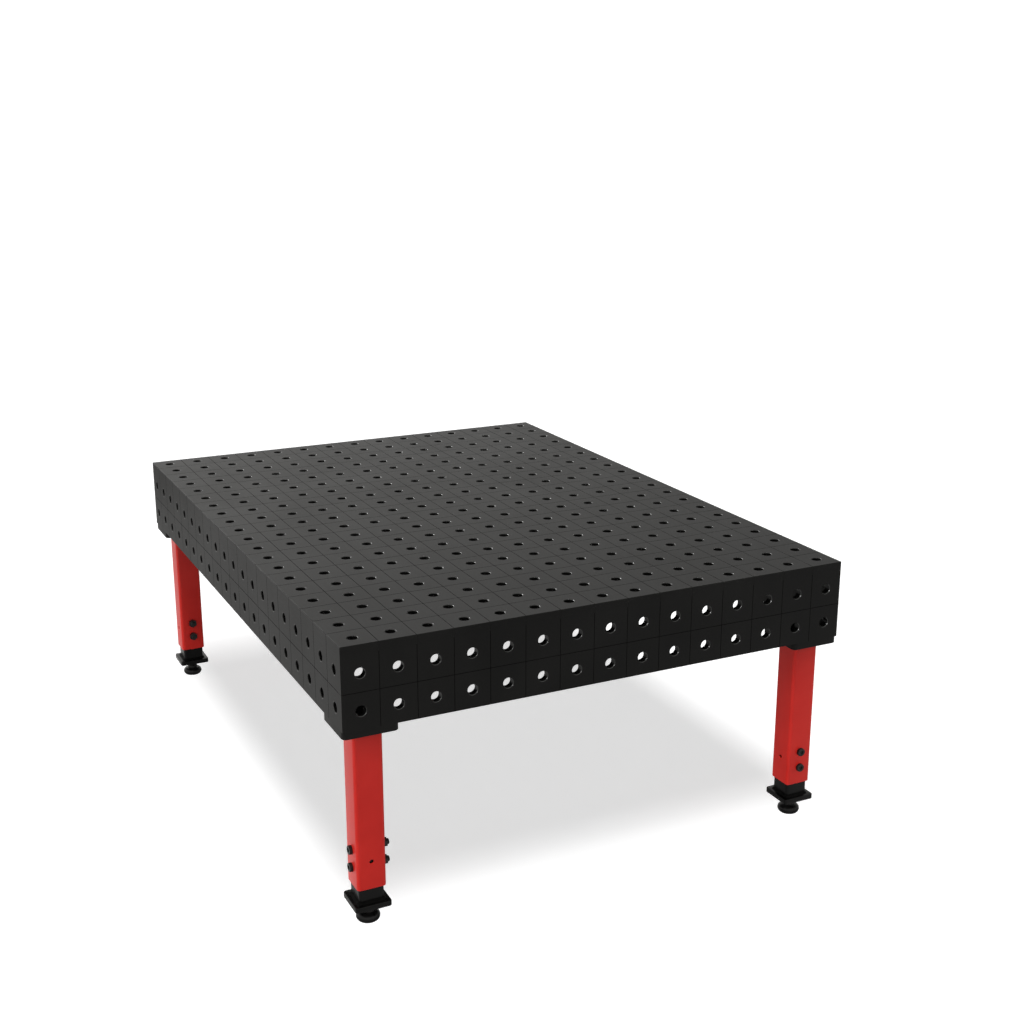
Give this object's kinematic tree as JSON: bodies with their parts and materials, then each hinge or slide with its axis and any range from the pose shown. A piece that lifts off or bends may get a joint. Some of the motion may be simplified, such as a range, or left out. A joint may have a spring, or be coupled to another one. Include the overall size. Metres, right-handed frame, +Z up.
{
  "type": "welding table",
  "caption": "Rectangular welding table with a perforated black steel top and deep perforated side plates, on square telescoping legs with screw levelling feet.",
  "frame": {"origin": "centre of the footprint, on the floor", "axes": "+Z up, +X along the length towards the front short side, +Y across the width"},
  "size_m": [2, 1.5, 0.8],
  "materials": {
    "nitrided_steel": "satin, plasma nitrided black",
    "black_steel": "satin black coating",
    "red_paint": "satin red powder coat",
    "black_bolts": "black oxide",
    "foot_black": "semi-gloss black"
  },
  "bodies": {
    "table": {"top_plate": "nitrided_steel", "side_plate_front": "nitrided_steel", "side_plate_rear": "nitrided_steel", "side_plate_left": "nitrided_steel", "side_plate_right": "nitrided_steel", "long_rib_1": "black_steel", "long_rib_2": "black_steel", "long_rib_3": "black_steel", "long_rib_4": "black_steel", "cross_rib_1": "black_steel", "cross_rib_2": "black_steel", "cross_rib_3": "black_steel", "leg_screws": "black_bolts", "corner_plate_front_left": "nitrided_steel", "corner_plate_front_right": "nitrided_steel", "corner_plate_rear_right": "nitrided_steel", "corner_plate_rear_left": "nitrided_steel", "leg_plug_front_left": "black_steel", "leg_plug_front_right": "black_steel", "leg_plug_rear_right": "black_steel", "leg_plug_rear_left": "black_steel", "leg_tube_front_left": "red_paint", "leg_tube_front_right": "red_paint", "leg_tube_rear_right": "red_paint", "leg_tube_rear_left": "red_paint", "clamp_bolts_front_left": "black_bolts", "clamp_bolts_front_right": "black_bolts", "clamp_bolts_rear_right": "black_bolts", "clamp_bolts_rear_left": "black_bolts", "clamp_nuts_front_left": "black_bolts", "clamp_nuts_front_right": "black_bolts", "clamp_nuts_rear_right": "black_bolts", "clamp_nuts_rear_left": "black_bolts"},
    "inner_leg_front_left": {"insert_tube_front_left": "black_steel", "base_plate_front_left": "black_steel", "weld_nut_front_left": "black_bolts", "lock_nut_front_left": "black_bolts"},
    "inner_leg_front_right": {"insert_tube_front_right": "black_steel", "base_plate_front_right": "black_steel", "weld_nut_front_right": "black_bolts", "lock_nut_front_right": "black_bolts"},
    "inner_leg_rear_right": {"insert_tube_rear_right": "black_steel", "base_plate_rear_right": "black_steel", "weld_nut_rear_right": "black_bolts", "lock_nut_rear_right": "black_bolts"},
    "inner_leg_rear_left": {"insert_tube_rear_left": "black_steel", "base_plate_rear_left": "black_steel", "weld_nut_rear_left": "black_bolts", "lock_nut_rear_left": "black_bolts"},
    "foot_front_left": {"foot_pad_front_left": "foot_black"},
    "foot_front_right": {"foot_pad_front_right": "foot_black"},
    "foot_rear_right": {"foot_pad_rear_right": "foot_black"},
    "foot_rear_left": {"foot_pad_rear_left": "foot_black"},
    "screw_front_left": {"foot_screw_front_left": "black_bolts"},
    "screw_front_right": {"foot_screw_front_right": "black_bolts"},
    "screw_rear_right": {"foot_screw_rear_right": "black_bolts"},
    "screw_rear_left": {"foot_screw_rear_left": "black_bolts"}
  },
  "joints": [
    {"name": "leg_extend_front_left", "type": "slide", "parent": "table", "child": "inner_leg_front_left", "axis": [0, 0, -1], "range_m": [0, 0.1]},
    {"name": "foot_height_front_left", "type": "slide", "parent": "inner_leg_front_left", "child": "foot_front_left", "axis": [0, 0, -1], "range_m": [-0.007, 0.05]},
    {"name": "screw_turn_front_left", "type": "hinge", "parent": "foot_front_left", "child": "screw_front_left", "pos_m": [0.925, -0.672, 0.05], "axis": [0, 0, -1], "range_deg": [-1008, 7200]},
    {"name": "leg_extend_front_right", "type": "slide", "parent": "table", "child": "inner_leg_front_right", "axis": [0, 0, -1], "range_m": [0, 0.1]},
    {"name": "foot_height_front_right", "type": "slide", "parent": "inner_leg_front_right", "child": "foot_front_right", "axis": [0, 0, -1], "range_m": [-0.007, 0.05]},
    {"name": "screw_turn_front_right", "type": "hinge", "parent": "foot_front_right", "child": "screw_front_right", "pos_m": [0.925, 0.672, 0.05], "axis": [0, 0, -1], "range_deg": [-1008, 7200]},
    {"name": "leg_extend_rear_right", "type": "slide", "parent": "table", "child": "inner_leg_rear_right", "axis": [0, 0, -1], "range_m": [0, 0.1]},
    {"name": "foot_height_rear_right", "type": "slide", "parent": "inner_leg_rear_right", "child": "foot_rear_right", "axis": [0, 0, -1], "range_m": [-0.007, 0.05]},
    {"name": "screw_turn_rear_right", "type": "hinge", "parent": "foot_rear_right", "child": "screw_rear_right", "pos_m": [-0.925, 0.672, 0.05], "axis": [0, 0, -1], "range_deg": [-1008, 7200]},
    {"name": "leg_extend_rear_left", "type": "slide", "parent": "table", "child": "inner_leg_rear_left", "axis": [0, 0, -1], "range_m": [0, 0.1]},
    {"name": "foot_height_rear_left", "type": "slide", "parent": "inner_leg_rear_left", "child": "foot_rear_left", "axis": [0, 0, -1], "range_m": [-0.007, 0.05]},
    {"name": "screw_turn_rear_left", "type": "hinge", "parent": "foot_rear_left", "child": "screw_rear_left", "pos_m": [-0.925, -0.672, 0.05], "axis": [0, 0, -1], "range_deg": [-1008, 7200]}
  ],
  "couplings": [
    {"joint": "screw_turn_front_left", "follows": "foot_height_front_left", "rad_per_m": 2513.3},
    {"joint": "screw_turn_front_right", "follows": "foot_height_front_right", "rad_per_m": 2513.3},
    {"joint": "screw_turn_rear_right", "follows": "foot_height_rear_right", "rad_per_m": 2513.3},
    {"joint": "screw_turn_rear_left", "follows": "foot_height_rear_left", "rad_per_m": 2513.3}
  ]
}
